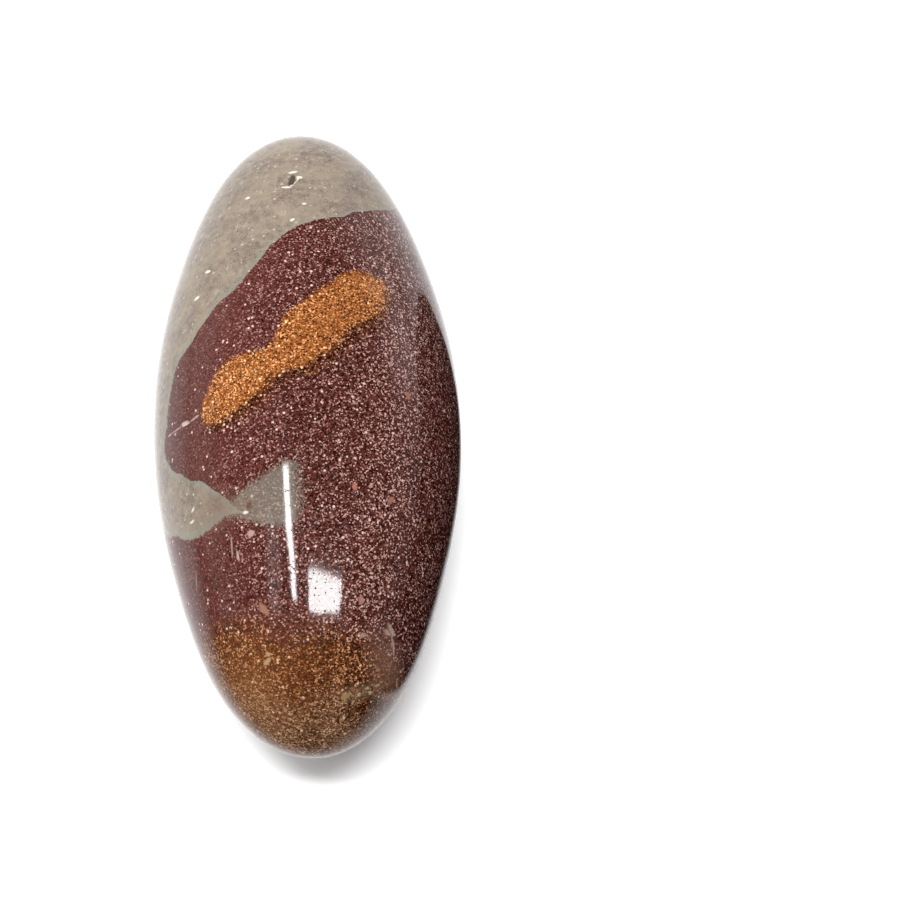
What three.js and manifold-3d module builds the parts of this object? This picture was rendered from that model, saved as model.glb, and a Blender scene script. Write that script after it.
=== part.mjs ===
// Shiva lingam: a long egg-shaped river stone, ground and polished by hand. One solid piece of banded
// quartz rock that lies on its side, on a small flat spot. Millimetres, +Z up, +Y along the stone towards
// its far end. The origin is under the middle of the stone, on the surface that it lies on.

import * as THREE from "three";
import { mergeVertices } from "three/addons/utils/BufferGeometryUtils.js";
import Module from "manifold-3d";

// Driving sizes of the stone before the flat spot is ground.
const LENGTH = 79; // tip to tip, along Y
const WIDTH = 36; // across the belly, along X
const HEIGHT = 35; // through the belly, along Z
const FLAT_DEPTH = 0.5; // how much is ground off under the belly, where the stone rests

// Where the form leaves a true ellipsoid. Each place is a share of the half length from the belly (0)
// to the far tip (1) or the near tip (-1), and fades out over its reach, a share of the half length too.
// left and right are the shares of the local radius that the stone gains or loses on its -X and +X sides.
const SWELLS = [
  { name: "near end, a little blunt", at: -0.9, reach: 0.2, left: 0.015, right: 0.0 },
  { name: "near shoulder, ground leaner on the right", at: -0.56, reach: 0.3, left: -0.03, right: -0.045 },
  { name: "far shoulder, ground lean", at: 0.62, reach: 0.3, left: -0.032, right: -0.036 },
  { name: "far end", at: 0.93, reach: 0.12, left: 0.01, right: -0.008 },
];

// One natural pit in the top, near the far end. It stayed open when the stone was polished.
const PIT_ALONG = 26.8; // its place along Y, from the belly
const PIT_TURN = -2.2; // its place around the stone, in degrees from the top towards +X
const PIT_SPIN = -12; // how far its long side is turned from the stone's own, in degrees
const PIT_LENGTH = 2.2;
const PIT_WIDTH = 1.1;
const PIT_DEPTH = 0.5;

// How finely the solid is faceted.
const SIDES_AROUND = 72;
const STEPS_ALONG = 44;
const PIT_SIDES = 16;
const PIT_RINGS = 8;

const STONE_COLOUR = 0x6e4640; // the maroon that covers most of the stone
const STONE_ROUGHNESS = 0.2;

/** The factor on the ellipsoid's radius along the stone. side is -1 at the left to 1 at the right. */
function swellAt(along, side) {
  return SWELLS.reduce((factor, { at, reach, left, right }) => {
    const share = left + ((right - left) * (1 + side)) / 2;
    return factor + share * Math.exp(-(((along - at) / reach) ** 2));
  }, 1);
}

/** A point of the ground form. along is -1 to 1 from tip to tip, turn is radians from the top to +X. */
function surfacePoint(along, turn) {
  const radius = Math.sqrt(1 - along * along) * swellAt(along, Math.sin(turn));
  return new THREE.Vector3(
    (Math.sin(turn) * radius * WIDTH) / 2,
    (along * LENGTH) / 2,
    (Math.cos(turn) * radius * HEIGHT) / 2,
  );
}

/** The stone before its pit and flat spot: a turned ellipse, swelled and thinned, round the origin. */
function wholeStone() {
  const profile = [];
  for (let step = 0; step <= STEPS_ALONG; step++) {
    const angle = (step / STEPS_ALONG - 0.5) * Math.PI;
    const onTip = step === 0 || step === STEPS_ALONG;
    profile.push(new THREE.Vector2(onTip ? 0 : Math.cos(angle), Math.sin(angle)));
  }
  const turned = new THREE.LatheGeometry(profile, SIDES_AROUND);
  turned.deleteAttribute("normal");
  turned.deleteAttribute("uv");
  const geometry = mergeVertices(turned);

  const position = geometry.getAttribute("position");
  for (let i = 0; i < position.count; i++) {
    const turn = Math.atan2(position.getX(i), position.getZ(i));
    const point = surfacePoint(position.getY(i), turn);
    position.setXYZ(i, point.x, point.y, point.z);
  }
  return geometry;
}

/** What is missing from the stone at its pit: a small ellipsoid with its middle on the surface. */
function pitHollow() {
  const along = PIT_ALONG / (LENGTH / 2);
  const turn = THREE.MathUtils.degToRad(PIT_TURN);
  const nearby = 0.01;
  const middle = surfacePoint(along, turn);
  const lengthwise = surfacePoint(along + nearby, turn).sub(middle).normalize();
  const crosswise = surfacePoint(along, turn + nearby).sub(middle).normalize();
  const outward = new THREE.Vector3().crossVectors(crosswise, lengthwise).normalize();
  const hollow = new THREE.SphereGeometry(1, PIT_SIDES, PIT_RINGS);
  hollow.scale(PIT_WIDTH / 2, PIT_LENGTH / 2, PIT_DEPTH);
  hollow.rotateZ(THREE.MathUtils.degToRad(PIT_SPIN));
  hollow.applyMatrix4(new THREE.Matrix4().makeBasis(crosswise, lengthwise, outward));
  hollow.translate(middle.x, middle.y, middle.z);
  hollow.deleteAttribute("normal");
  hollow.deleteAttribute("uv");
  return mergeVertices(hollow);
}

/** A closed geometry as a manifold-3d solid, and back. */
function toSolid(wasm, geometry) {
  const position = geometry.getAttribute("position");
  return new wasm.Manifold(
    new wasm.Mesh({
      numProp: 3,
      vertProperties: new Float32Array(position.array),
      triVerts: new Uint32Array(geometry.index.array),
    }),
  );
}

function toGeometry(solid) {
  const mesh = solid.getMesh();
  return new THREE.BufferGeometry()
    .setAttribute("position", new THREE.BufferAttribute(mesh.vertProperties, 3))
    .setIndex(new THREE.BufferAttribute(mesh.triVerts, 1));
}

/** What is ground off under the belly: a block whose top is the plane that the stone rests on. */
function flatCutter() {
  const cutterHeight = HEIGHT / 2;
  const cutter = new THREE.BoxGeometry(2 * WIDTH, 2 * LENGTH, cutterHeight);
  cutter.translate(0, 0, FLAT_DEPTH - HEIGHT / 2 - cutterHeight / 2);
  cutter.deleteAttribute("normal");
  cutter.deleteAttribute("uv");
  return mergeVertices(cutter);
}

/** The stone with its pit, and with its flat spot ground under the belly. */
function groundStone(wasm) {
  const whole = toSolid(wasm, wholeStone());
  const pitted = whole.subtract(toSolid(wasm, pitHollow()));
  return toGeometry(pitted.subtract(toSolid(wasm, flatCutter())));
}

/** The stone as a mesh that rests on Z = 0, with the middle of its length and width over the origin. */
function stone(wasm) {
  const geometry = groundStone(wasm);
  geometry.computeBoundingBox();
  const box = geometry.boundingBox;
  const middle = box.getCenter(new THREE.Vector3());
  geometry.translate(-middle.x, -middle.y, -box.min.z);
  geometry.computeVertexNormals();
  const material = new THREE.MeshStandardMaterial({
    color: STONE_COLOUR,
    roughness: STONE_ROUGHNESS,
    metalness: 0,
  });
  const mesh = new THREE.Mesh(geometry, material);
  mesh.name = "stone";
  return mesh;
}

const wasm = await Module();
wasm.setup();

const lingam = new THREE.Group();
lingam.add(stone(wasm));

export default lingam;
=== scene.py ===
"""Dresses the polished shiva lingam stone: its ground surface, its banded rock and a plain pale studio.

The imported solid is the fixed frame. Sizes in the classes are millimetres, and the scene is in metres.
"""

import logging
import math
from dataclasses import dataclass, field
from enum import Enum

import bpy
import numpy as np
from mathutils import Matrix, Vector


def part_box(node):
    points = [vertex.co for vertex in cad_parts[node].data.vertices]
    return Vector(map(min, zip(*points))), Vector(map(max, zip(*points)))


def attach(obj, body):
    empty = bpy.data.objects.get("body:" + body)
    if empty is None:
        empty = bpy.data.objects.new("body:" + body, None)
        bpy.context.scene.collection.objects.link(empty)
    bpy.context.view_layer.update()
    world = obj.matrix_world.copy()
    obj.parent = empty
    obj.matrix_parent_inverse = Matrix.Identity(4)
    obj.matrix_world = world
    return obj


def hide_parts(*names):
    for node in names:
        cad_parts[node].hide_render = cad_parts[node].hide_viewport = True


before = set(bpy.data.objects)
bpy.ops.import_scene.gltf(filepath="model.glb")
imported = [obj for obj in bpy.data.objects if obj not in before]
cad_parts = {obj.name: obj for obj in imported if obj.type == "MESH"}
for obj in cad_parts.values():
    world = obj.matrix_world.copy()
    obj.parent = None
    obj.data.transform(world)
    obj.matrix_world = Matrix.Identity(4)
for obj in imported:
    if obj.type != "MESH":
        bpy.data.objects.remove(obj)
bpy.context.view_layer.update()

MM = 0.001
NOISE_MIDDLE = 0.5  # what a noise averages, and a grain's chance
log = logging.getLogger("lingam")

Tree = bpy.types.NodeTree
Node = bpy.types.Node
Socket = bpy.types.NodeSocket
Outline = tuple[tuple[float, float], ...]
Colour = tuple[float, float, float, float]


def linear(code: str) -> Colour:
    """Turns an sRGB hex colour into linear light.

    Args:
        code: six hex digits, such as "6a3a36".

    Returns:
        Red, green, blue and an alpha of 1.
    """
    shares = [int(code[i : i + 2], 16) / 255 for i in (0, 2, 4)]
    light = [s / 12.92 if s <= 0.04045 else ((s + 0.055) / 1.055) ** 2.4 for s in shares]
    return (*light, 1.0)


def add(tree: Tree, kind: str, links: dict[str | int, object] | None = None, **settings: object) -> Node:
    """Adds a node to a tree, sets it up and links it.

    Args:
        tree: the tree that the node goes in.
        kind: the node's type, without the "ShaderNode" that they all start with.
        links: what feeds each input, by its name or number: a socket, a node for its first live output, or
            a plain value.
        settings: the node's own properties. points are a drawn curve's, and stops are a colour ramp's.

    Returns:
        The new node.
    """
    node = tree.nodes.new("ShaderNode" + kind)
    points = settings.pop("points", None)
    stops = settings.pop("stops", None)
    for name, value in settings.items():
        setattr(node, name, value)
    if points:
        node.mapping.use_clip = False
        curve = node.mapping.curves[0]
        for knot, place in zip(curve.points, (points[0], points[-1])):
            knot.location = place
        for place in points[1:-1]:
            curve.points.new(*place)
        node.mapping.update()
    if stops:
        ramp = node.color_ramp
        for knot, (place, colour) in zip(ramp.elements, (stops[0], stops[-1])):
            knot.position, knot.color = place, colour
        for place, colour in stops[1:-1]:
            ramp.elements.new(place).color = colour
    for key, value in (links or {}).items():
        if isinstance(value, Node):
            value = next(output for output in value.outputs if output.enabled)
        if isinstance(value, Socket):
            tree.links.new(value, node.inputs[key])
        else:
            node.inputs[key].default_value = value
    return node


# ---- The stone's form ----


@dataclass(frozen=True)
class Swell:
    """A place along the stone that was ground fuller or leaner than a true ellipsoid.

    at and reach are shares of the half length. left and right are the shares of the radius gained there.
    """

    at: float
    reach: float
    left: float
    right: float


@dataclass(frozen=True)
class Form:
    """The ground form: an ellipsoid with its long axis along Y, swelled and thinned in places."""

    length: float = 79.0
    width: float = 36.0
    height: float = 35.0
    flat_depth: float = 0.5
    swells: tuple[Swell, ...] = (
        Swell(at=-0.9, reach=0.2, left=0.015, right=0.0),  # near end, a little blunt
        Swell(at=-0.56, reach=0.3, left=-0.03, right=-0.045),  # near shoulder, leaner on the right
        Swell(at=0.62, reach=0.3, left=-0.032, right=-0.036),  # far shoulder
        Swell(at=0.93, reach=0.12, left=0.01, right=-0.008),  # far end
    )

    @property
    def axis_height(self) -> float:
        """How high the long axis lies above the surface that the stone rests on."""
        return self.height / 2 - self.flat_depth

    @property
    def radius(self) -> float:
        """The mean radius of the belly."""
        return (self.width + self.height) / 4

    def surface(self, along: np.ndarray, turn: np.ndarray) -> np.ndarray:
        """Gives points of the form.

        Args:
            along: places from -1 at the near tip to 1 at the far tip.
            turn: angles in radians from the top towards +X.

        Returns:
            One row of x, y and z for each point, measured from the middle of the long axis.
        """
        side = np.sin(turn)
        factor = np.ones_like(along)
        for swell in self.swells:
            share = swell.left + (swell.right - swell.left) * (1 + side) / 2
            factor += share * np.exp(-(((along - swell.at) / swell.reach) ** 2))
        radius = np.sqrt(np.clip(1 - along**2, 0, 1)) * factor
        x, y = self.width / 2 * radius * side, self.length / 2 * along
        return np.column_stack((x, y, self.height / 2 * radius * np.cos(turn)))

    def basis(self, along: float, turn: float) -> tuple[Vector, Matrix]:
        """Gives a point of the form and the directions there.

        Args:
            along: the place along Y, in mm from the belly.
            turn: the place around the stone, in degrees from the top towards +X.

        Returns:
            The point, and a matrix whose columns run across the stone, along it and straight out of it.
        """
        step = 0.001
        share, angle = along / (self.length / 2), math.radians(turn)
        alongs = np.array([share, share + step, share])
        turns = np.array([angle, angle, angle + step])
        here, ahead, aside = (Vector(point) for point in self.surface(alongs, turns))
        lengthwise = (ahead - here).normalized()
        outward = (aside - here).cross(lengthwise).normalized()
        return here, Matrix((lengthwise.cross(outward), lengthwise, outward)).transposed()


# ---- Marks: small things at one place on the stone, in its shape, its colour or both ----


@dataclass(frozen=True)
class Spot:
    """A place on the stone, as the nodes of a material's tree know it.

    point is in mm from the middle of the long axis. girth is mm round from the top towards +X, and along
    is mm along the stone from the belly.
    """

    tree: Tree
    point: Socket
    girth: Socket
    along: Socket


@dataclass(frozen=True)
class Mark:
    """A small oval mark on the surface.

    along is mm from the belly, turn is degrees from the top towards +X, and spin is how far the oval's
    long side is turned from the stone's own, in degrees anticlockwise as seen from outside.
    """

    along: float
    turn: float
    length: float
    width: float
    spin: float = 0.0
    depth: float = 0.0
    colour: str = ""  # the pit has none of its own
    strength: float = 1.0
    softness: float = 0.25  # of the oval's half width

    def frame(self, form: Form) -> tuple[Vector, Matrix]:
        """Gives the mark's middle, and its own directions: across it, along it and outward."""
        place, basis = form.basis(self.along, self.turn)
        return place, basis @ Matrix.Rotation(math.radians(self.spin), 3, "Z")

    def local(self, form: Form, points: np.ndarray) -> np.ndarray:
        """Gives points in the mark's own directions, measured from its middle."""
        middle, basis = self.frame(form)
        return (points - np.array(middle)) @ np.array(basis)

    def mask(self, form: Form, spot: Spot, ragged: Socket) -> Node:
        """Finds where the mark is.

        Args:
            form: the stone's form.
            spot: the place.
            ragged: a noise round 0 that frays the oval's edge.

        Returns:
            1 on the mark, fading to 0 past its edge.
        """
        middle, basis = self.frame(form)
        own = {
            "Vector": spot.point,
            "Location": middle,
            "Rotation": basis.to_euler(),
            "Scale": (self.width / 2, self.length / 2, (self.width + self.length) / 2),
        }
        own_place = add(spot.tree, "Mapping", own, vector_type="TEXTURE")
        oval = add(spot.tree, "VectorMath", {0: own_place}, operation="LENGTH")
        reach = add(spot.tree, "Math", {0: oval, 1: ragged}, operation="ADD")
        edge = {"Value": reach, "From Min": 1 + self.softness, "From Max": 1 - self.softness}
        return add(spot.tree, "MapRange", {**edge, "To Max": self.strength})


# Each mark starts with its along, turn, length and width.
PIT = Mark(26.8, -2.2, 2.2, 1.1, spin=-12, depth=0.5)

# Shallow flaws that the polish didn't take out. Their broken quartz looks pale and dull.
FLAWS = (
    Mark(26.45, -0.7, 2.1, 0.32, spin=-31, depth=0.03, colour="d9cfbf"),  # rim of the pit
    Mark(28.2, -2.0, 1.1, 0.4, spin=-78, depth=0.02, colour="d2c8b6"),
    Mark(25.55, -4.9, 1.1, 0.35, spin=82, depth=0.02, colour="cbc0ae"),
    Mark(27.2, 1.9, 0.7, 0.42, spin=77, depth=0.02, colour="cfc5b5"),
    Mark(-4.2, -57.6, 0.7, 0.28, spin=-86, depth=0.03, colour="ad9894"),  # healed crack
    Mark(-4.2, -52.5, 2.1, 0.24, spin=89, depth=0.03, colour="97807b"),
    Mark(-4.1, -47.1, 1.4, 0.55, spin=82, depth=0.05, colour="b59d98"),
    Mark(-4.0, -41.5, 1.4, 0.28, spin=-77, depth=0.03, colour="9b827d"),
    Mark(-29.6, 50.9, 2.5, 0.34, spin=33, depth=0.06, colour="8b766c"),  # scar
    Mark(-28.3, 46.9, 1.7, 0.6, spin=48, depth=0.08, colour="8f7a70"),
    Mark(-28.6, 44.4, 0.8, 0.5, spin=49, depth=0.05, colour="8f786c"),
    Mark(-32.9, 70.3, 1.2, 0.22, spin=55, depth=0.03, colour="8a7668"),  # nicks
    Mark(-21.3, -56.6, 2.1, 0.18, spin=-23, depth=0.03, colour="87736d"),
    Mark(-19.5, -31.4, 2.3, 0.18, spin=-8, depth=0.04, colour="8a706a"),
    Mark(-20.6, -29.2, 1.3, 0.3, spin=4, depth=0.05, colour="a08680"),
)

# What shows in the colour alone: quartz grains larger than the rest, places that took more or less stain
# than what lies round them, a paler place on the near right that is partly painted light, and dirt with
# painted shade in the hollow of the pit.
GRAINS = (
    # partly a paler rough place, and partly painted light on the near right flank, which the lamps leave dim
    Mark(-31.8, 53.0, 6.5, 3.4, spin=50, colour="94705f", strength=0.4, softness=0.9),
    Mark(-34.6, 40.0, 4.4, 1.6, spin=-67, colour="9a8a6e", strength=0.22, softness=0.9),
    Mark(-34.9, 37.5, 0.5, 0.32, spin=-30, colour="a8987a", strength=0.8, softness=0.4),
    Mark(-34.2, 42.5, 0.55, 0.3, spin=-75, colour="a8987a", strength=0.8, softness=0.4),
    Mark(-34.5, 46.5, 0.4, 0.35, spin=10, colour="b0a086", strength=0.8, softness=0.4),
    Mark(-33.7, 50.5, 0.5, 0.3, spin=-50, colour="a8987a", strength=0.8, softness=0.4),
    Mark(-35.6, 35.0, 0.4, 0.3, spin=-60, colour="9c8a6a", strength=0.8, softness=0.4),
    # dirt and painted shade in the pit's hollow
    Mark(27.0, -2.2, 1.7, 0.62, spin=-12, colour="3d3126", strength=0.85),
    Mark(-15.3, -35.5, 3.6, 4.8, colour="6c5549", strength=0.5, softness=0.8),
    Mark(-33.0, -42.0, 9.0, 13.0, colour="9c6238", strength=0.28, softness=0.9),
    Mark(-15.6, -21.2, 0.9, 0.7, spin=-36, colour="5c3a35", strength=0.8, softness=0.5),
    Mark(-2.5, 41.8, 0.95, 0.65, spin=4, colour="8f5a49"),
    Mark(-14.1, 20.2, 0.85, 0.55, spin=10, colour="9a6154"),
    Mark(-15.0, 35.8, 1.0, 0.6, spin=-38, colour="8e5d4d"),
    Mark(-18.6, -21.8, 0.8, 0.75, spin=88, colour="a88480"),
    Mark(-26.6, -20.8, 1.5, 0.7, spin=28, colour="8d6453"),
    Mark(-25.9, 26.5, 0.9, 0.55, spin=11, colour="946760"),
    Mark(-29.4, 29.8, 0.8, 0.5, spin=-58, colour="94766a"),
    Mark(-31.7, -25.1, 1.2, 0.5, spin=-57, colour="a0805f"),
    Mark(-31.0, -23.4, 0.6, 0.5, spin=38, colour="a0805f"),
    Mark(-35.2, 26.9, 1.1, 0.6, spin=-58, colour="8a7350"),
    Mark(24.9, -25.2, 0.6, 0.35, spin=90, colour="d6d0c2"),
    Mark(22.6, 3.8, 0.55, 0.32, spin=89, colour="cfc8b9"),
    Mark(20.0, -1.7, 0.6, 0.35, spin=-53, colour="d2ccbf"),
    Mark(15.0, -39.6, 0.9, 0.4, spin=71, colour="cdc9bb"),
    Mark(11.7, -43.5, 0.8, 0.45, spin=-81, colour="d3cec0"),
    Mark(-14.1, -48.4, 0.75, 0.28, spin=-59, colour="cbc4b2"),
    Mark(-15.3, -50.2, 0.75, 0.28, spin=-83, colour="cbc4b2"),
    Mark(-16.3, -23.0, 0.6, 0.35, spin=-89, colour="c9c1b5"),
)


# ---- The bands of coloured rock, drawn in mm along the stone and mm of girth from the top towards +X ----


class Rock(Enum):
    """The colours that the iron in the rock has given it."""

    MAROON = "maroon"
    OCHRE = "ochre"
    RUST = "rust"
    OLIVE = "olive"
    GREY = "grey"


@dataclass(frozen=True)
class Band:
    """A stretch of one colour of rock.

    blend is the mm on either side of its edge over which it comes in, and scatter is the mm over which
    single grains stray across the edge.
    """

    rock: Rock
    blend: float
    scatter: float

    def inside(self, spot: Spot) -> Node:
        """Measures how far inside the band a place lies.

        Args:
            spot: the place.

        Returns:
            The mm from the edge, less than 0 outside.
        """
        raise NotImplementedError

    def mask(self, spot: Spot, stray: Socket) -> Node:
        """Finds where the band's colour is.

        Args:
            spot: the place.
            stray: which way each grain strays, from -0.5 to 0.5.

        Returns:
            1 inside the band, and 0 outside.
        """
        inside = self.inside(spot)
        strayed = add(spot.tree, "Math", {0: stray, 1: self.scatter, 2: inside}, operation="MULTIPLY_ADD")
        edge = {"Value": strayed, "From Min": -self.blend, "From Max": self.blend}
        return add(spot.tree, "MapRange", edge, interpolation_type="SMOOTHSTEP")


@dataclass(frozen=True)
class GreyCap(Band):
    """The grey rock of the far end, which also reaches down the left side and round the back.

    edge is the line of (along, girth) that it lies to the left of. hem is the line of (girth, along) that
    it lies beyond, and from the girth behind on, only the hem bounds it.
    """

    rock: Rock = Rock.GREY
    blend: float = 0.12
    scatter: float = 0.25
    behind: float = 22.5
    edge: Outline = (
        (-14.4, -9.6), (-12.3, -12.3), (-10.3, -15.4), (-8.4, -18.2), (-5.6, -19.8), (-2.5, -18.8),
        (0.7, -17.7), (3.7, -16.1), (6.2, -13.4), (8.3, -11.4), (10.6, -8.4), (13.6, -5.4), (16.1, -3.5),
        (18.3, -1.0), (19.9, 2.2), (20.9, 6.3), (22.8, 11.4), (27.0, 22.2), (28.5, 30.0), (31.0, 60.0),
    )
    hem: Outline = (
        (-56.0, 16.0), (-48.0, 8.0), (-40.0, -2.0), (-32.0, -9.5), (-27.0, -12.6), (-23.4, -14.2),
        (-19.0, -16.1), (-15.4, -17.1), (-12.2, -16.7), (-9.5, -16.1), (0.0, -16.0), (10.0, 6.0),
        (18.0, 21.0), (22.5, 27.0), (33.0, 27.5), (44.0, 24.0), (56.0, 16.0),
    )

    def inside(self, spot: Spot) -> Node:
        """Measures how far inside the cap a place lies.

        Args:
            spot: the place.

        Returns:
            The mm from the nearer of the edge and the hem, less than 0 outside.
        """
        hem = add(spot.tree, "FloatCurve", {"Value": spot.girth}, points=self.hem)
        edge = add(spot.tree, "FloatCurve", {"Value": spot.along}, points=self.edge)
        above = add(spot.tree, "Math", {0: spot.along, 1: hem}, operation="SUBTRACT")
        left = add(spot.tree, "Math", {0: edge, 1: spot.girth}, operation="SUBTRACT")
        round_back = add(spot.tree, "Math", {0: spot.girth, 1: self.behind}, operation="SUBTRACT")
        beside = add(spot.tree, "Math", {0: left, 1: round_back}, operation="MAXIMUM")
        return add(spot.tree, "Math", {0: above, 1: beside}, operation="MINIMUM")


@dataclass(frozen=True)
class GreyWedge(Band):
    """The grey wedge that runs on from the cap, across the top of the stone.

    line is its middle and half its half width, both over the girth. It is thin enough for the maroon
    below to show through, and weak gives the stretch of girth over which it weakens, and to how much.
    tip gives the girth where it ends among the maroon grains, and how far these mix.
    """

    rock: Rock = Rock.GREY
    blend: float = 0.3
    scatter: float = 0.7
    line: Outline = (
        (-11.0, -15.3), (-8.1, -15.45), (-4.9, -15.4), (-2.9, -15.1), (-0.9, -14.6), (0.9, -14.5),
    )
    half: Outline = (
        (-12.5, -1.0), (-11.0, 0.5), (-9.5, 0.8), (-8.1, 1.25), (-6.9, 1.9), (-4.9, 2.6), (-2.9, 3.15),
        (-1.5, 3.3), (-0.9, 3.2), (0.0, 2.7), (0.8, 1.6), (1.8, -1.0),
    )
    weak: tuple[float, float, float] = (-13.5, -10.0, 0.5)
    tip: tuple[float, float] = (-0.3, 1.6)

    def inside(self, spot: Spot) -> Node:
        """Measures how far inside the wedge a place lies.

        Args:
            spot: the place.

        Returns:
            The mm from its side, less than 0 outside.
        """
        line = add(spot.tree, "FloatCurve", {"Value": spot.girth}, points=self.line)
        half = add(spot.tree, "FloatCurve", {"Value": spot.girth}, points=self.half)
        off = add(spot.tree, "Math", {0: spot.along, 1: line}, operation="SUBTRACT")
        off = add(spot.tree, "Math", {0: off}, operation="ABSOLUTE")
        return add(spot.tree, "Math", {0: half, 1: off}, operation="SUBTRACT")

    def mask(self, spot: Spot, stray: Socket) -> Node:
        """Finds where the wedge is, and lets it weaken and end.

        Args:
            spot: the place.
            stray: which way each grain strays, from -0.5 to 0.5.

        Returns:
            1 where the wedge is full, and 0 outside.
        """
        whole = super().mask(spot, stray)
        start, end, least = self.weak
        share = {"Value": spot.girth, "From Min": start, "From Max": end, "To Min": 1.0, "To Max": least}
        share = add(spot.tree, "MapRange", share)
        weakened = add(spot.tree, "Math", {0: whole, 1: share}, operation="MULTIPLY")
        finish, mixed = self.tip
        strayed = add(spot.tree, "Math", {0: stray, 1: mixed, 2: spot.girth}, operation="MULTIPLY_ADD")
        ended = {"Value": strayed, "From Min": finish + mixed / 2, "From Max": finish - mixed / 2}
        ended = add(spot.tree, "MapRange", ended)
        return add(spot.tree, "Math", {0: weakened, 1: ended}, operation="MULTIPLY")


@dataclass(frozen=True)
class Patch(Band):
    """A patch with two lobes, drawn along its own middle line.

    spin is the degrees from across the stone to along the patch, and middle its (girth, along). line is its
    middle line and half its half width, both over the mm along the patch. shift moves it across itself.
    """

    spin: float = 34.5
    middle: tuple[float, float] = (0.0, 3.65)
    shift: float = 0.0
    line: Outline = (
        (-13.0, -0.15), (-10.0, 0.05), (-8.0, 0.0), (-6.0, -0.27), (-4.0, -0.95), (-1.0, -0.8),
        (0.0, -0.35), (2.0, -0.17), (4.0, 0.2), (8.0, 0.5), (13.0, 0.6),
    )
    half: Outline = (
        (-16.4, -2.0), (-14.8, 0.0), (-14.0, 1.2), (-12.0, 2.25), (-10.0, 2.8), (-8.0, 2.95), (-6.0, 2.45),
        (-4.0, 1.8), (-3.0, 1.9), (-2.0, 2.6), (-1.0, 3.05), (0.0, 3.15), (2.0, 3.25), (4.0, 3.0),
        (6.0, 2.9), (8.5, 3.1), (11.5, 2.4), (12.5, 1.6), (13.9, 0.0), (15.4, -2.0),
    )

    def inside(self, spot: Spot) -> Node:
        """Measures how far inside the patch a place lies.

        Args:
            spot: the place.

        Returns:
            The mm from its side, less than 0 outside.
        """
        place = add(spot.tree, "CombineXYZ", {"X": spot.girth, "Y": spot.along})
        rotation = (0.0, 0.0, math.radians(self.spin))
        own = {"Vector": place, "Location": (*self.middle, 0.0), "Rotation": rotation}
        own_place = add(spot.tree, "Mapping", own, vector_type="TEXTURE")
        here = add(spot.tree, "SeparateXYZ", {0: own_place}).outputs
        line = add(spot.tree, "FloatCurve", {"Value": here["X"]}, points=self.line)
        half = add(spot.tree, "FloatCurve", {"Value": here["X"]}, points=self.half)
        across = add(spot.tree, "Math", {0: here["Y"], 1: line}, operation="SUBTRACT")
        across = add(spot.tree, "Math", {0: across, 1: self.shift}, operation="SUBTRACT")
        off = add(spot.tree, "Math", {0: across}, operation="ABSOLUTE")
        return add(spot.tree, "Math", {0: half, 1: off}, operation="SUBTRACT")


@dataclass(frozen=True)
class NearEnd(Band):
    """The stained near end, nearer than the line of (girth, along) edge by start mm or more."""

    start: float = 0.0
    edge: Outline = (
        (-56.0, -30.0), (-35.0, -28.5), (-23.0, -27.6), (-14.5, -27.2), (-7.8, -28.6), (-4.5, -30.4),
        (-1.5, -30.0), (5.0, -29.6), (9.6, -29.8), (16.5, -31.3), (35.0, -31.0), (56.0, -30.0),
    )

    def inside(self, spot: Spot) -> Node:
        """Measures how far inside the stained end a place lies.

        Args:
            spot: the place.

        Returns:
            The mm from its start, less than 0 outside.
        """
        edge = add(spot.tree, "FloatCurve", {"Value": spot.girth}, points=self.edge)
        inside = add(spot.tree, "Math", {0: edge, 1: spot.along}, operation="SUBTRACT")
        return add(spot.tree, "Math", {0: inside, 1: self.start}, operation="SUBTRACT")


CAP = GreyCap()
BANDS = (
    NearEnd(Rock.RUST, blend=0.9, scatter=2.2),
    NearEnd(Rock.OLIVE, blend=2.4, scatter=2.5, start=6.0),
    Patch(Rock.RUST, blend=1.1, scatter=1.4, shift=-1.2),  # the stain that seeped out below the ochre
    Patch(Rock.OCHRE, blend=0.25, scatter=0.6),
    CAP,
    GreyWedge(),
)


# ---- Finish ----


@dataclass(frozen=True)
class Grit:
    """How one colour of rock is mottled by its grains.

    pore, shade, body and pale are the colours from the darkest grains to the palest, and fleck is the colour
    of the few that stand out, flecked times as strong. sharpness is how much the grains differ, and the
    rest is a soft mottle. even rock shows its grains alike all over the stone.
    """

    pore: str
    shade: str
    body: str
    pale: str
    fleck: str
    flecked: float = 1.0
    sharpness: float = 1.0
    even: bool = False


# How far up the scale of grain tones each of a grit's four colours lies.
TONE_STEPS = (0.04, 0.35, 0.78, 0.98)

GRITS: dict[Rock, Grit] = {
    Rock.MAROON: Grit("1c0200", "3f1914", "623731", "be988f", "cbada5"),
    Rock.OCHRE: Grit("341404", "7a431c", "a26335", "e2a872", "e8be8e", even=True),
    Rock.RUST: Grit("0c0000", "280e02", "6c391c", "c08e66", "cba985", even=True),
    # the olive is made paler than the rock alone: painted light on the near tip, which the lamps leave dim
    Rock.OLIVE: Grit("2a1205", "5a381f", "836149", "c09a78", "c8ae92", even=True),
    Rock.GREY: Grit("5c5046", "766a5f", "8a7d70", "a99d8e", "cdc6ba", flecked=0.5, sharpness=0.4),
}


@dataclass(frozen=True)
class Sand:
    """The sand that the rock is made of: one material's noises, each steady across a grain but the silt.

    even runs from 0 in the darkest grain to 1 in the palest, with painted light and shade added round the
    girth, and tone is the same with the grains more alike on the stone's left. stray runs from -0.5 to 0.5,
    and silt is a soft mottle from 0 to 1. fleck is 1 on the few grains that stand out. pore is 1 in the open
    pores, where hollow is their depth.
    """

    even: Socket
    tone: Socket
    stray: Socket
    silt: Socket
    fleck: Socket
    pore: Socket
    hollow: Socket


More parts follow.
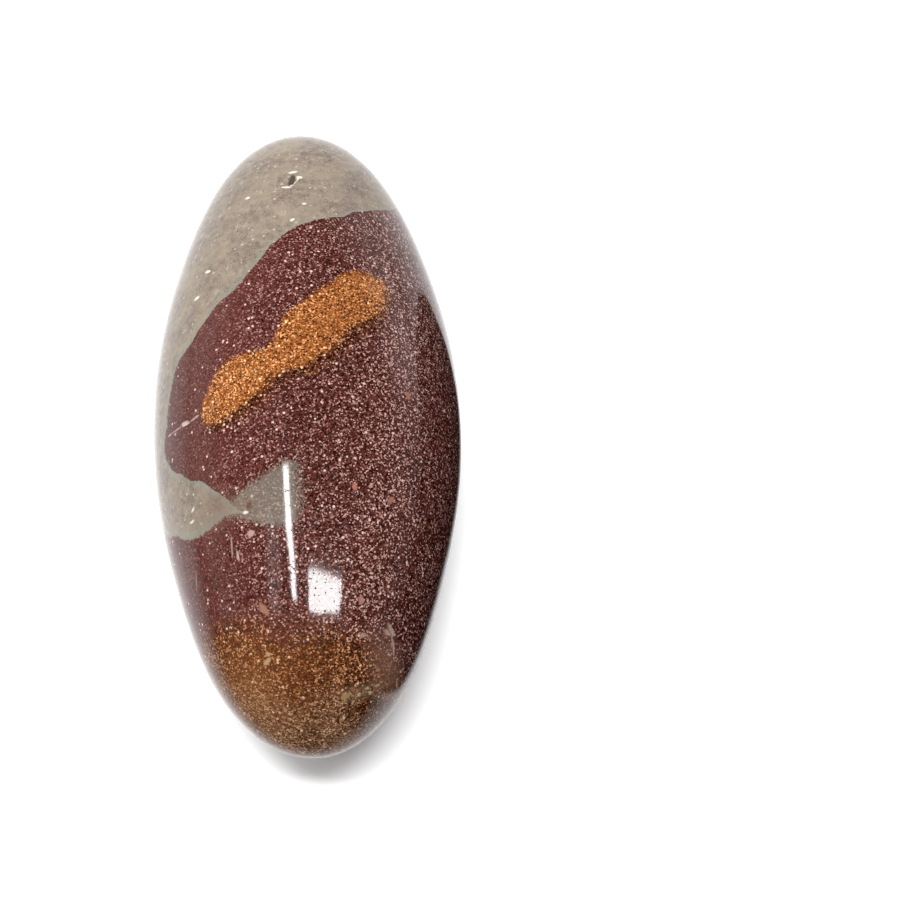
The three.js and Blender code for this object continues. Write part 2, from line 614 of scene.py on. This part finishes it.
@dataclass(frozen=True)
class PolishedQuartz:
    """Cryptocrystalline quartz rock, ground and polished by hand with wax.

    It gives the eye a deep wet gloss over fine sand grains, broken by open pores that stay dull.
    """

    form: Form
    ior: float = 1.54  # quartz
    polish: float = 0.08  # roughness of the polished grains
    dullness: float = 0.85  # roughness inside a pore or a chip
    grain: float = 0.15  # mm across a sand grain
    fleck: float = 0.42  # mm from one grain that may stand out to the next
    flecked: float = 0.05  # the share of those that do
    fleck_edge: tuple[float, float] = (0.42, 0.3)  # shares of that spacing where a fleck ends and is full
    mottle: float = 0.9  # mm across a cloud in the silt
    silt_range: tuple[float, float] = (0.3, 0.7)  # the noise in its thinnest and thickest silt
    pore_share: float = 0.055  # of the grains have fallen out
    pore_depth: float = 0.022  # mm
    pore_dullness: float = 0.22  # of a chip's
    lean: float = -0.15  # mm of girth to the mm by which the next two lean from straight along the stone
    # How much the grains differ, round the girth.
    contrast: Outline = ((-18.0, 0.5), (-10.0, 0.5), (-5.0, 0.75), (0.0, 0.95), (16.0, 1.1), (24.0, 1.3))
    steady: float = 0.7  # the tone that the contrast leaves as it is
    painted_shading: Outline = (  # painted light and shade round the girth: the sand made paler or darker, darkest on the right flank
        (-18.0, 0.0), (-5.0, 0.0), (2.5, -0.05), (8.0, -0.02), (11.0, 0.03), (14.0, 0.02), (18.0, -0.04),
        (24.0, -0.07),
    )
    buff: float = 0.22  # buff clouds in the grey rock to the mm
    buff_range: tuple[float, float] = (0.45, 0.65)  # the noise where a cloud starts and is full
    buff_share: float = 0.5
    buff_colour: str = "948774"
    ragged: float = 0.5  # how far an oval mark frays
    frays: float = 3.0  # to the mm
    wander: float = 1.2  # mm that the bands' edges wander
    bends: float = 0.35  # of that wander to the mm
    halo: float = 1.5  # mm that the grey rock is bleached next to the maroon
    halo_colour: str = "80857a"
    halo_share: float = 0.55

    def material(self) -> bpy.types.Material:
        """Makes the finish.

        Returns:
            The material, with its pattern in Object coordinates.
        """
        material = bpy.data.materials.new("polished_banded_quartz")
        material.use_nodes = True
        tree = material.node_tree
        tree.nodes.clear()
        metres = add(tree, "TexCoord").outputs["Object"]
        centred = {"Vector": metres, "Location": (0, 0, -self.form.axis_height), "Scale": (1 / MM,) * 3}
        spot = self._unrolled(tree, add(tree, "Mapping", centred).outputs[0])
        sand = self._sand(spot)
        colour, chipped = self._marked(spot, self._banded(spot, sand))
        dull = add(tree, "Math", {0: sand.pore, 1: self.pore_dullness}, operation="MULTIPLY")
        dull = add(tree, "Math", {0: dull, 1: chipped}, operation="MAXIMUM")
        gloss = add(tree, "MapRange", {"Value": dull, "To Min": self.polish, "To Max": self.dullness})
        hollow = add(tree, "Math", {0: sand.hollow, 1: chipped}, operation="MAXIMUM")
        sunk = {"Height": hollow, "Distance": self.pore_depth * MM}
        bump = add(tree, "Bump", sunk, invert=True)
        skin = {"Base Color": colour, "Roughness": gloss, "Normal": bump, "IOR": self.ior}
        add(tree, "OutputMaterial", {"Surface": add(tree, "BsdfPrincipled", skin)})
        return material

    def _unrolled(self, tree: Tree, place: Socket) -> Spot:
        """Unrolls the surface, with a slow wander so that no edge is drawn too clean.

        Args:
            tree: the material's tree.
            place: the place in mm from the middle of the long axis.

        Returns:
            The place, with its girth and how far along the stone it is.
        """
        noise = add(tree, "TexNoise", {"Vector": place, "Scale": self.bends, "Detail": 3.0}).outputs["Color"]
        centred = add(tree, "VectorMath", {0: noise, 1: (NOISE_MIDDLE,) * 3}, operation="SUBTRACT")
        wander = add(tree, "VectorMath", {0: centred, "Scale": self.wander}, operation="SCALE")
        off = add(tree, "SeparateXYZ", {0: wander}).outputs
        here = add(tree, "SeparateXYZ", {0: place}).outputs
        turn = add(tree, "Math", {0: here["X"], 1: here["Z"]}, operation="ARCTAN2")
        girth = add(tree, "Math", {0: turn, 1: self.form.radius, 2: off["X"]}, operation="MULTIPLY_ADD")
        along = add(tree, "Math", {0: here["Y"], 1: off["Y"]}, operation="ADD")
        return Spot(tree, place, girth.outputs[0], along.outputs[0])

    def _sand(self, spot: Spot) -> Sand:
        """Makes the sand.

        Args:
            spot: the place.

        Returns:
            The sand's noises.
        """
        tree = spot.tree
        grains = add(tree, "TexVoronoi", {"Vector": spot.point, "Scale": 1 / self.grain}).outputs
        chance = add(tree, "SeparateColor", {0: grains["Color"]}).outputs
        leant = add(tree, "Math", {0: spot.along, 1: self.lean, 2: spot.girth}, operation="MULTIPLY_ADD")
        contrast = add(tree, "FloatCurve", {"Value": leant}, points=self.contrast)
        # painted light and shade round the girth, added to each grain's chance
        painted_shading = add(tree, "FloatCurve", {"Value": leant}, points=self.painted_shading)
        even = add(tree, "Math", {0: chance["Red"], 1: painted_shading}, operation="ADD")
        centred = add(tree, "Math", {0: even, 1: self.steady}, operation="SUBTRACT")
        tone = add(tree, "Math", {0: centred, 1: contrast, 2: self.steady}, operation="MULTIPLY_ADD")
        stray = add(tree, "Math", {0: chance["Green"], 1: NOISE_MIDDLE}, operation="SUBTRACT")
        cloud = add(tree, "TexNoise", {"Vector": spot.point, "Scale": 1 / self.mottle, "Detail": 4.0})
        thin, thick = self.silt_range
        silt = add(tree, "MapRange", {"Value": cloud, "From Min": thin, "From Max": thick})
        pore = add(tree, "Math", {0: chance["Red"], 1: self.pore_share}, operation="LESS_THAN")
        bowl = add(tree, "Math", {0: 1.0, 1: grains["Distance"]}, operation="SUBTRACT")
        hollow = add(tree, "Math", {0: pore, 1: bowl}, operation="MULTIPLY")
        spots = add(tree, "TexVoronoi", {"Vector": spot.point, "Scale": 1 / self.fleck}).outputs
        lot = add(tree, "SeparateColor", {0: spots["Color"]}).outputs["Red"]
        chosen = add(tree, "Math", {0: lot, 1: 1 - self.flecked}, operation="GREATER_THAN")
        end, full = self.fleck_edge
        core = add(tree, "MapRange", {"Value": spots["Distance"], "From Min": end, "From Max": full})
        fleck = add(tree, "Math", {0: chosen, 1: core}, operation="MULTIPLY")
        return Sand(*(node.outputs[0] for node in (even, tone, stray, silt, fleck, pore, hollow)))

    def _rock(self, tree: Tree, grit: Grit, sand: Sand) -> Node:
        """Colours the sand as one kind of rock.

        Args:
            tree: the material's tree.
            grit: the rock's colours.
            sand: the sand.

        Returns:
            The colour.
        """
        tones = (grit.pore, grit.shade, grit.body, grit.pale)
        stops = [(step, linear(code)) for step, code in zip(TONE_STEPS, tones)]
        grains = sand.even if grit.even else sand.tone
        tone = add(tree, "Mix", {"Factor": grit.sharpness, "A": sand.silt, "B": grains}, data_type="FLOAT")
        colour = add(tree, "ValToRGB", {"Fac": tone}, stops=stops)
        fleck = add(tree, "Math", {0: sand.fleck, 1: grit.flecked}, operation="MULTIPLY")
        flecks = {"Factor": fleck, "A": colour, "B": linear(grit.fleck)}
        colour = add(tree, "Mix", flecks, data_type="RGBA")
        pores = {"Factor": sand.pore, "A": colour, "B": linear(grit.pore)}
        return add(tree, "Mix", pores, data_type="RGBA")

    def _banded(self, spot: Spot, sand: Sand) -> Node:
        """Lays the bands of rock over the maroon.

        Args:
            spot: the place.
            sand: the sand.

        Returns:
            The colour.
        """
        tree = spot.tree
        rocks = {kind: self._rock(tree, grit, sand) for kind, grit in GRITS.items()}
        buff = add(tree, "TexNoise", {"Vector": spot.point, "Scale": self.buff, "Detail": 2.0})
        start, full = self.buff_range
        cloud = {"Value": buff, "From Min": start, "From Max": full, "To Max": self.buff_share}
        buff = add(tree, "MapRange", cloud)
        buffed = {"Factor": buff, "A": rocks[Rock.GREY], "B": linear(self.buff_colour)}
        rocks[Rock.GREY] = add(tree, "Mix", buffed, data_type="RGBA")
        inside = CAP.inside(spot)
        bleach = {"Value": inside, "From Min": self.halo, "From Max": 0.0, "To Max": self.halo_share}
        bleach = add(tree, "MapRange", bleach)
        bleached = {"Factor": bleach, "A": rocks[Rock.GREY], "B": linear(self.halo_colour)}
        rocks[Rock.GREY] = add(tree, "Mix", bleached, data_type="RGBA")
        colour = rocks[Rock.MAROON]
        for band in BANDS:
            mask = band.mask(spot, sand.stray)
            colour = add(tree, "Mix", {"Factor": mask, "A": colour, "B": rocks[band.rock]}, data_type="RGBA")
        return colour

    def _marked(self, spot: Spot, colour: Node) -> tuple[Node, Node]:
        """Lays the marks over the rock.

        Args:
            spot: the place.
            colour: the rock's colour.

        Returns:
            The colour, and the mask of the chipped places.
        """
        tree = spot.tree
        noise = add(tree, "TexNoise", {"Vector": spot.point, "Scale": self.frays, "Detail": 2.0})
        centred = add(tree, "Math", {0: noise, 1: NOISE_MIDDLE}, operation="SUBTRACT")
        fray = add(tree, "Math", {0: centred, 1: 2 * self.ragged}, operation="MULTIPLY").outputs[0]
        chipped = PIT.mask(self.form, spot, fray)
        for mark in FLAWS + GRAINS:
            mask = mark.mask(self.form, spot, fray)
            marked = {"Factor": mask, "A": colour, "B": linear(mark.colour)}
            colour = add(tree, "Mix", marked, data_type="RGBA")
            if mark.depth:
                chipped = add(tree, "Math", {0: chipped, 1: mask}, operation="MAXIMUM")
        return colour, chipped


# ---- The stone ----


@dataclass
class Lingam:
    """The polished stone."""

    form: Form = field(default_factory=Form)
    sides: int = 256  # facets around the girth
    rings: int = 180  # facets from tip to tip
    margins: tuple[float, ...] = (1.2, 0.7, 0.35)  # mm round a mark that each halving of the facets covers
    # How a mark's edge wavers: how many waves to the round, where they start in radians, and how high they
    # are as shares of its half width.
    waves: tuple[tuple[int, float, float], ...] = ((3, 1.0, 0.16), (5, 0.0, 0.1))
    slope: float = 0.6  # share of a mark's half width that its side takes
    deep: float = 2.0  # mm above and below the surface that a mark's cut reaches
    ripple_depth: float = 0.02  # mm, what hand polishing leaves
    ripple_width: float = 3.5  # mm
    weld: float = 0.01  # mm within which vertices become one, at the flat spot and next to the tips

    def build(self) -> bpy.types.Object:
        """Grinds the stone from a sphere, cuts its marks and its flat spot, and dresses it.

        Returns:
            The finished piece.
        """
        stone = self._rough()
        self._refine(stone)
        self._cut_marks(stone)
        self._ripple(stone)
        self._flatten()
        self._fit(stone)
        stone.data.materials.append(PolishedQuartz(self.form).material())
        bpy.ops.object.shade_smooth()
        return stone

    def _rough(self) -> bpy.types.Object:
        """Lays a sphere on its side, stretches it to the stone's size and grinds it to form.

        Returns:
            The rough stone, with the middle of its long axis at the origin.
        """
        bpy.ops.object.select_all(action="DESELECT")
        bpy.ops.mesh.primitive_uv_sphere_add(
            segments=self.sides, ring_count=self.rings, radius=1.0, rotation=(-math.pi / 2, 0, 0)
        )
        stone = bpy.context.object
        stone.name = stone.data.name = "polished_stone"
        bpy.ops.object.transform_apply(location=True, rotation=True, scale=True)
        bpy.ops.object.mode_set(mode="EDIT")
        bpy.ops.mesh.select_all(action="SELECT")
        half = Vector((self.form.width, self.form.length, self.form.height)) / 2
        bpy.ops.transform.resize(value=half * MM)
        bpy.ops.object.mode_set(mode="OBJECT")
        self._grind(stone)
        return stone

    def _grind(self, stone: bpy.types.Object) -> None:
        """Brings every vertex onto the ground form, whose uneven shoulders no edit operator gives.

        Args:
            stone: the piece, with the middle of its long axis at the origin.
        """
        points = self._points(stone) / MM
        turn = np.arctan2(points[:, 0] / self.form.width, points[:, 2] / self.form.height)
        ground = self.form.surface(np.clip(points[:, 1] / (self.form.length / 2), -1, 1), turn)
        self._move(stone, ground * MM)

    def _refine(self, stone: bpy.types.Object) -> None:
        """Halves the facets a few times round each mark that has a depth.

        Args:
            stone: the piece.
        """
        bpy.context.tool_settings.mesh_select_mode = (False, False, True)
        for margin in self.margins:
            bpy.ops.object.mode_set(mode="EDIT")
            bpy.ops.mesh.select_all(action="DESELECT")
            bpy.ops.object.mode_set(mode="OBJECT")
            centres = np.empty(3 * len(stone.data.polygons))
            stone.data.polygons.foreach_get("center", centres)
            centres = centres.reshape(-1, 3) / MM
            near = np.zeros(len(centres), bool)
            for mark in (PIT, *FLAWS):
                local = np.abs(mark.local(self.form, centres))
                reach = (mark.width / 2 + margin, mark.length / 2 + margin, self.deep)
                near |= np.all(local < reach, axis=1)
            stone.data.polygons.foreach_set("select", near)
            bpy.ops.object.mode_set(mode="EDIT")
            bpy.ops.mesh.subdivide(number_cuts=1)
            bpy.ops.object.mode_set(mode="OBJECT")
            self._grind(stone)

    def _cut_marks(self, stone: bpy.types.Object) -> None:
        """Sinks the pit and the shallow flaws.

        Each vertex is moved by its own depth, since no edit operator sinks so ragged an oval.

        Args:
            stone: the piece.
        """
        points = self._points(stone) / MM
        for mark in (PIT, *FLAWS):
            across, along, out = mark.local(self.form, points).T
            angle = np.arctan2(along / mark.length, across / mark.width)
            ragged = 1 + sum(high * np.sin(many * angle + start) for many, start, high in self.waves)
            reach = np.hypot(across / (mark.width / 2), along / (mark.length / 2)) / ragged
            share = np.clip((1.0 - reach) / self.slope, 0, 1)
            sunk = mark.depth * share * share * (3 - 2 * share) * (np.abs(out) < self.deep)
            points -= sunk[:, None] * np.array(mark.frame(self.form)[1].col[2])
        self._move(stone, points * MM)

    def _ripple(self, stone: bpy.types.Object) -> None:
        """Leaves the slight ripple of hand polishing, which makes straight reflections waver.

        Args:
            stone: the piece.
        """
        clouds = bpy.data.textures.new("ripple", "CLOUDS")
        clouds.noise_scale = self.ripple_width * MM
        clouds.noise_depth = 1
        ripple = stone.modifiers.new("ripple", "DISPLACE")
        ripple.texture = clouds
        ripple.texture_coords = "LOCAL"
        ripple.strength = self.ripple_depth * MM
        ripple.mid_level = 0.5
        bpy.ops.object.modifier_apply(modifier=ripple.name)

    def _flatten(self) -> None:
        """Stands the stone on its surface, with its place in its mesh, and grinds the flat spot there."""
        bpy.ops.object.mode_set(mode="EDIT")
        bpy.ops.mesh.select_all(action="SELECT")
        bpy.ops.transform.translate(value=(0, 0, self.form.axis_height * MM))
        bpy.ops.mesh.bisect(plane_co=(0, 0, 0), plane_no=(0, 0, 1), use_fill=True, clear_inner=True)
        bpy.ops.mesh.select_all(action="SELECT")
        bpy.ops.mesh.remove_doubles(threshold=self.weld * MM)
        bpy.ops.mesh.normals_make_consistent(inside=False)
        bpy.ops.object.mode_set(mode="OBJECT")

    def _fit(self, stone: bpy.types.Object) -> None:
        """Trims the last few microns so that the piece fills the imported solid's box and no more.

        Args:
            stone: the piece.
        """
        points = self._points(stone)
        low, high = (np.array(corner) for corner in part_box("stone"))
        size = points.max(0) - points.min(0)
        self._move(stone, (points - points.min(0)) * ((high - low) / size) + low)

    @staticmethod
    def _points(stone: bpy.types.Object) -> np.ndarray:
        """Reads a piece's vertices.

        Args:
            stone: the piece.

        Returns:
            One row of x, y and z for each, in metres.
        """
        flat = np.empty(3 * len(stone.data.vertices))
        stone.data.vertices.foreach_get("co", flat)
        return flat.reshape(-1, 3)

    @staticmethod
    def _move(stone: bpy.types.Object, points: np.ndarray) -> None:
        """Writes a piece's vertices back."""
        stone.data.vertices.foreach_set("co", points.ravel())
        stone.data.update()


# ---- The studio ----


@dataclass(frozen=True)
class Light:
    """A light overhead: a lamp on everything but the polish, or a panel that only the polish mirrors.

    place is its middle in mm, and wide and long are mm too. radiance is its watts, over pi times its area
    in square metres. A lamp faces the stone. A panel faces down, turned spin degrees anticlockwise from
    above.
    """

    name: str
    place: tuple[float, float, float]
    wide: float
    long: float
    radiance: float
    mirrored: bool = True
    spin: float = 0.0


@dataclass(frozen=True)
class MattPaper:
    """Matt white paper. It gives the eye a plain pale ground that burns out, with one soft shadow.

    What the polish mirrors of it is painted dimmer further out and in front, a painted reflection. For the
    polish and for the light that it throws back, but not for the camera, it is painted dark over a stretch
    on the stone's right: a painted reflection there, and painted shade on the stone's right flank.
    """

    white: Colour = (0.98, 0.98, 0.99, 1.0)
    burnt: Colour = (1.25, 1.25, 1.26, 1.0)  # as the camera sees it, overexposed
    spread: float = 1.0
    stretch: tuple[float, float, float] = (1.0, 0.5, 1.0)  # it dims half as fast along the stone as across
    falloff: Outline = (
        (25.0, 0.95), (40.0, 0.7), (60.0, 0.57), (100.0, 0.48), (160.0, 0.42), (300.0, 0.35),
    )
    front: tuple[float, float, float] = (0.3, -66.0, -32.0)  # slant, then the mm where it is dark and light
    beside: tuple[float, float] = (18.0, 26.0)  # mm to the right over which it darkens
    dark_back: Outline = (  # the far side of the dark stretch, in mm to the right and mm behind
        (10.0, -6.0), (24.0, 15.0), (33.0, 29.5), (42.0, 42.5), (70.0, 64.5), (100.0, 80.5), (167.0, 116.0),
        (320.0, 195.0), (900.0, 500.0),
    )
    dark_near: tuple[float, float] = (-0.8, -18.0)  # slope, and mm at the middle, of its near side
    soft: float = 3.0  # mm over which its sides soften

    def material(self) -> bpy.types.Material:
        """Makes the finish.

        Returns:
            The material, which a low camera can look up through.
        """
        material = bpy.data.materials.new("matt_white_paper")
        material.use_nodes = True
        tree = material.node_tree
        tree.nodes.clear()
        rays = add(tree, "LightPath").outputs
        share = self._thrown(tree, rays["Is Glossy Ray"])
        thrown = add(tree, "VectorMath", {0: self.white[:3], "Scale": share}, operation="SCALE")
        colour = {"Factor": rays["Is Camera Ray"], "A": thrown, "B": self.burnt}
        colour = add(tree, "Mix", colour, data_type="RGBA")
        side = add(tree, "NewGeometry").outputs["Backfacing"]
        face = add(tree, "BsdfDiffuse", {"Color": colour})
        both = add(tree, "MixShader", {0: side, 1: face, 2: add(tree, "BsdfTransparent")})
        add(tree, "OutputMaterial", {"Surface": both})
        return material

    def _thrown(self, tree: Tree, mirrored: Socket) -> Node:
        """Works out how much of its light the paper throws back on the stone, with its painted reflection
        and painted shade.

        Args:
            tree: the material's tree.
            mirrored: 1 for what the polish mirrors, 0 for the light that spreads.

        Returns:
            The share, from 0 to 1.
        """
        metres = add(tree, "TexCoord").outputs["Object"]
        place = add(tree, "VectorMath", {0: metres, "Scale": 1 / MM}, operation="SCALE")
        here = add(tree, "SeparateXYZ", {0: place}).outputs
        dimmed = add(tree, "VectorMath", {0: place, 1: self.stretch}, operation="MULTIPLY")
        dimmed = add(tree, "VectorMath", {0: dimmed}, operation="LENGTH")
        # painted reflection: what the polish mirrors dims further out and in front
        share = add(tree, "FloatCurve", {"Value": dimmed}, points=self.falloff)
        slant, dark, light = self.front
        front = add(tree, "Math", {0: here["X"], 1: slant, 2: here["Y"]}, operation="MULTIPLY_ADD")
        front = {"Value": front, "From Min": dark, "From Max": light}
        front = add(tree, "MapRange", front, interpolation_type="SMOOTHSTEP")
        share = add(tree, "Math", {0: share, 1: front}, operation="MULTIPLY")
        share = add(tree, "Mix", {"Factor": mirrored, "A": self.spread, "B": share}, data_type="FLOAT")
        # painted shade and painted reflection: the dark stretch on the stone's right
        far = add(tree, "FloatCurve", {"Value": here["X"]}, points=self.dark_back)
        slope, middle = self.dark_near
        near = add(tree, "Math", {0: here["X"], 1: slope, 2: middle}, operation="MULTIPLY_ADD")
        below_far = add(tree, "Math", {0: far, 1: here["Y"]}, operation="SUBTRACT")
        above_near = add(tree, "Math", {0: here["Y"], 1: near}, operation="SUBTRACT")
        between = add(tree, "Math", {0: below_far, 1: above_near}, operation="MINIMUM")
        between = {"Value": between, "From Max": self.soft}
        between = add(tree, "MapRange", between, interpolation_type="SMOOTHSTEP")
        start, end = self.beside
        beside = {"Value": here["X"], "From Min": start, "From Max": end}
        beside = add(tree, "MapRange", beside, interpolation_type="SMOOTHSTEP")
        dark = add(tree, "Math", {0: between, 1: beside}, operation="MULTIPLY")
        lit = add(tree, "Math", {0: 1.0, 1: dark}, operation="SUBTRACT")
        return add(tree, "Math", {0: share, 1: lit}, operation="MULTIPLY")


@dataclass
class Studio:
    """A pale floor, soft light and the camera."""

    form: Form = field(default_factory=Form)
    floor_half: float = 900.0  # mm
    lights: tuple[Light, ...] = (
        Light("key_light", (-10.0, -70.0, 480.0), wide=260.0, long=80.0, radiance=34.4325, mirrored=False),
        Light("strip_light", (-90.4, -60.0, 417.0), wide=28.0, long=164.0, radiance=24.0, spin=4.0),
        Light("window_light", (115.6, -142.8, 417.0), wide=224.0, long=67.2, radiance=20.0, spin=-4.6),
        Light("dim_panel", (-228.0, -108.0, 417.0), wide=88.0, long=160.0, radiance=1.0, spin=-33.0),
    )
    sky: tuple[float, float, float] = (-0.32, 0.84, 0.44)  # where the soft light is brightest
    sky_reach: tuple[float, float] = (-0.28, 1.18)  # cosines to there at which it is dark and full
    sky_level: float = 1.9
    room_colour: Colour = (0.04, 0.04, 0.04, 1.0)  # what the polish mirrors
    wall_colour: Colour = (1.0, 0.93, 0.93, 1.0)  # and of the pale walls, low down
    backdrop: Colour = (1.0, 1.0, 1.0, 1.0)  # what the camera sees behind the floor
    wall: Outline = (  # how pale they are, over the radians from the back towards the right
        (-3.15, 0.0), (-1.9, 0.05), (-1.4, 0.4), (-0.5, 0.45), (0.4, 0.5), (0.8, 0.65), (1.1, 0.7),
        (1.2, 0.3), (1.6, 0.12), (2.1, 0.0), (3.15, 0.0),
    )
    wall_top: tuple[float, float] = (0.52, 0.15)  # sines of the angle up at which they end and are full
    azimuth: float = -2.933  # degrees
    elevation: float = 65.0
    distance: float = 249.7  # mm to the middle of the stone
    lens: float = 85.0
    sensor: float = 36.0
    frame_pixels: float = 900.0
    stone_pixel: tuple[float, float] = (307.8, 430.9)  # where the stone's middle lies in the frame
    clip: tuple[float, float] = (10.0, 10000.0)  # mm that the camera sees from and to

    def build(self) -> None:
        """Sets up the floor, the lights, the world and the camera."""
        self._floor()
        for light in self.lights:
            self._hang(light)
        self._world()
        self._camera()

    def _floor(self) -> None:
        """Lays the sheet of paper."""
        bpy.ops.object.select_all(action="DESELECT")
        bpy.ops.mesh.primitive_plane_add(size=2 * self.floor_half * MM)
        floor = bpy.context.object
        floor.name = "floor"
        floor.data.materials.append(MattPaper().material())

    def _hang(self, light: Light) -> None:
        """Hangs a light, unseen by the camera.

        Args:
            light: its place, size and brightness, and what it lights.
        """
        data = bpy.data.lights.new(light.name, "AREA")
        data.shape, data.size, data.size_y = "RECTANGLE", light.wide * MM, light.long * MM
        data.energy = light.radiance * math.pi * data.size * data.size_y
        hung = bpy.data.objects.new(light.name, data)
        bpy.context.scene.collection.objects.link(hung)
        hung.location = Vector(light.place) * MM
        to_stone = hung.location.to_track_quat("Z", "Y").to_euler()
        hung.rotation_euler = (0, 0, math.radians(light.spin)) if light.mirrored else to_stone
        hung.visible_camera = False
        hung.visible_glossy, hung.visible_diffuse = light.mirrored, not light.mirrored

    def _world(self) -> None:
        """Fills the room with soft light, and gives the polish a dim room and the camera a plain one."""
        world = bpy.data.worlds.new("studio")
        bpy.context.scene.world = world
        world.use_nodes = True
        tree = world.node_tree
        tree.nodes.clear()
        where = add(tree, "TexCoord").outputs["Generated"]
        here = add(tree, "SeparateXYZ", {0: where}).outputs
        to_sky = add(tree, "VectorMath", {0: where, 1: self.sky}, operation="DOT_PRODUCT")
        dark, full = self.sky_reach
        soft = {"Value": to_sky, "From Min": dark, "From Max": full, "To Max": self.sky_level}
        soft = add(tree, "MapRange", soft, interpolation_type="SMOOTHSTEP")
        round_room = add(tree, "Math", {0: here["X"], 1: here["Y"]}, operation="ARCTAN2")
        sides = add(tree, "FloatCurve", {"Value": round_room}, points=self.wall)
        top, foot = self.wall_top
        wall = {"Value": here["Z"], "From Min": top, "From Max": foot}
        wall = add(tree, "MapRange", wall, interpolation_type="SMOOTHSTEP")
        wall = add(tree, "Math", {0: wall, 1: sides}, operation="MULTIPLY")
        mirrored = {"Factor": wall, "A": self.room_colour, "B": self.wall_colour}
        mirrored = add(tree, "Mix", mirrored, data_type="RGBA")
        rays = add(tree, "LightPath").outputs
        light = {"Factor": rays["Is Glossy Ray"], "A": soft, "B": mirrored}
        light = add(tree, "Mix", light, data_type="RGBA")
        light = {"Factor": rays["Is Camera Ray"], "A": light, "B": self.backdrop}
        light = add(tree, "Mix", light, data_type="RGBA")
        add(tree, "OutputWorld", {"Surface": add(tree, "Background", {"Color": light})})

    def _camera(self) -> None:
        """Places the camera so that the stone's middle lies at its pixel of the frame."""
        azimuth, elevation = math.radians(self.azimuth), math.radians(self.elevation)
        level = math.cos(elevation)
        back = Vector((math.sin(azimuth) * level, -math.cos(azimuth) * level, math.sin(elevation)))
        right = Vector((math.cos(azimuth), math.sin(azimuth), 0))
        up = back.cross(right)
        scale = self.distance * self.sensor / (self.lens * self.frame_pixels)
        aside = (self.stone_pixel[0] - self.frame_pixels / 2) * scale
        below = (self.stone_pixel[1] - self.frame_pixels / 2) * scale
        place = Vector((0, 0, self.form.axis_height)) + back * self.distance - right * aside + up * below
        data = bpy.data.cameras.new("camera")
        data.lens, data.sensor_width = self.lens, self.sensor
        data.clip_start, data.clip_end = (end * MM for end in self.clip)
        camera = bpy.data.objects.new("camera", data)
        bpy.context.scene.collection.objects.link(camera)
        camera.location = place * MM
        camera.rotation_euler = Matrix((right, up, back)).transposed().to_euler()
        bpy.context.scene.camera = camera
        bpy.context.scene.view_settings.view_transform = "Standard"


def main() -> None:
    """Builds the stone and the studio."""
    logging.basicConfig(level=logging.INFO, format="%(message)s")
    stone = Lingam().build()
    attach(stone, "root")
    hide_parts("stone")
    log.info("%s: %d vertices, %d faces", stone.name, len(stone.data.vertices), len(stone.data.polygons))
    Studio().build()
    log.info("studio: floor, lights and camera")


if __name__ == "__main__":
    main()
